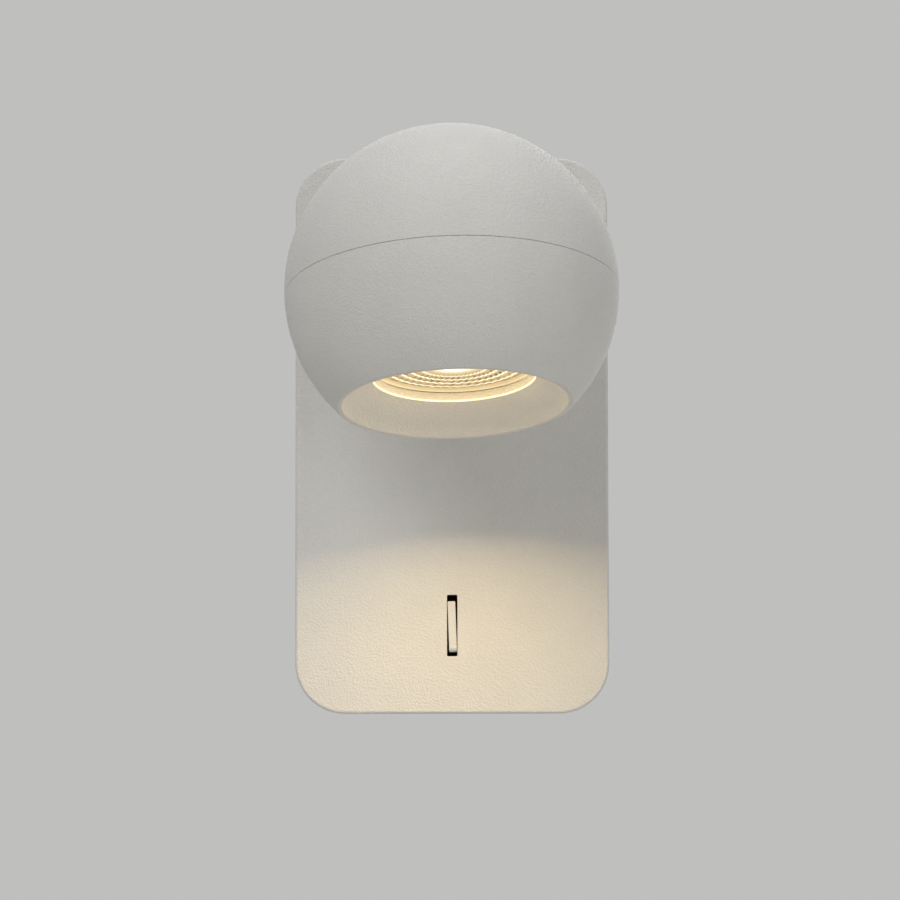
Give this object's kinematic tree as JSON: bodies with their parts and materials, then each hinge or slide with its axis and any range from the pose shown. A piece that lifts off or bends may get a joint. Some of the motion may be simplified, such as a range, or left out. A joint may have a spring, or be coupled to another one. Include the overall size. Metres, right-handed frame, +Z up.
{
  "type": "wall_light",
  "caption": "Wall light: white ball head with a cut mouth and a spot lamp, on a swivelling and tilting stem, over a rounded wall plate with a slot switch",
  "frame": {"origin": "the middle of the wall plate's back, at the cable entry, midway between the two wall screws, on the wall's surface", "axes": "+Z is up, +Y points into the wall, and the light faces -Y"},
  "size_m": [0.1, 0.135, 0.178],
  "materials": {
    "white_paint": "fine-textured matt powder coat",
    "zinc_steel": "bright zinc plate",
    "spring_steel": "oiled spring steel",
    "brass": "plain turned brass",
    "white_plastic": "moulded",
    "black_plastic": "moulded",
    "nylon": "moulded nylon",
    "black_rubber": "moulded",
    "china": "unglazed steatite",
    "lamp_plastic": "smooth moulded",
    "white_board": "white solder mask",
    "lit_lens": "clear moulded rings, lit from behind",
    "fibre": "vulcanised fibre",
    "brown_insulation": "extruded",
    "blue_insulation": "extruded",
    "green_insulation": "extruded, with a yellow stripe",
    "white_insulation": "extruded"
  },
  "bodies": {
    "base": {"wall_cover": "white_paint", "wall_bracket": "zinc_steel", "cable_grommet": "black_rubber", "cover_screws": "zinc_steel", "terminal_block": "white_plastic", "terminal_sleeves": "brass", "terminal_screws": "brass", "block_screw": "zinc_steel", "earth_screw": "brass", "earth_lug": "brass", "live_lead": "brown_insulation", "switched_lead": "brown_insulation", "neutral_lead": "blue_insulation", "earth_lead": "green_insulation", "switch_body": "black_plastic", "switch_nuts": "zinc_steel", "switch_pin": "zinc_steel", "switch_spring": "brass", "switch_blades": "brass", "stem_stiffener": "zinc_steel", "stem_bush": "nylon"},
    "lever": {"switch_lever": "white_paint"},
    "swivel": {"stem": "white_paint", "swivel_spring": "spring_steel", "stop_washer": "zinc_steel", "stem_nut": "zinc_steel", "yoke": "zinc_steel", "yoke_nut": "zinc_steel", "tilt_studs": "zinc_steel", "tilt_springs": "spring_steel", "tilt_nuts": "zinc_steel", "lead_sleeve": "white_insulation", "stem_leads": "white_insulation"},
    "head": {"friction_discs": "fibre", "carrier_frame": "zinc_steel", "rear_shell": "white_paint", "shell_screws": "zinc_steel", "holder_strap": "zinc_steel", "strap_screws": "zinc_steel", "lamp_holder": "china", "holder_screws": "zinc_steel", "holder_leads": "white_insulation", "lamp_body": "lamp_plastic", "lamp_pins": "zinc_steel", "led_board": "white_board", "lamp_lens": "lit_lens"},
    "front": {"front_shell": "white_paint"}
  },
  "joints": [
    {"name": "switch_rock", "type": "hinge", "parent": "base", "child": "lever", "pos_m": [0, -0.015, -0.061], "axis": [1, 0, 0], "range_deg": [0, 12]},
    {"name": "head_swivel", "type": "hinge", "parent": "base", "child": "swivel", "pos_m": [0, -0.085, 0.039], "axis": [0, 1, 0], "range_deg": [-160, 160]},
    {"name": "head_tilt", "type": "hinge", "parent": "swivel", "child": "head", "pos_m": [0, -0.085, 0.039], "axis": [-0.9996, 0, -0.0297], "range_deg": [-3.4, 76.6]},
    {"name": "front_shell_twist", "type": "hinge", "parent": "head", "child": "front", "pos_m": [0, -0.085, 0.039], "axis": [0.0289, -0.2317, -0.9723], "range_deg": [0, 20]}
  ]
}
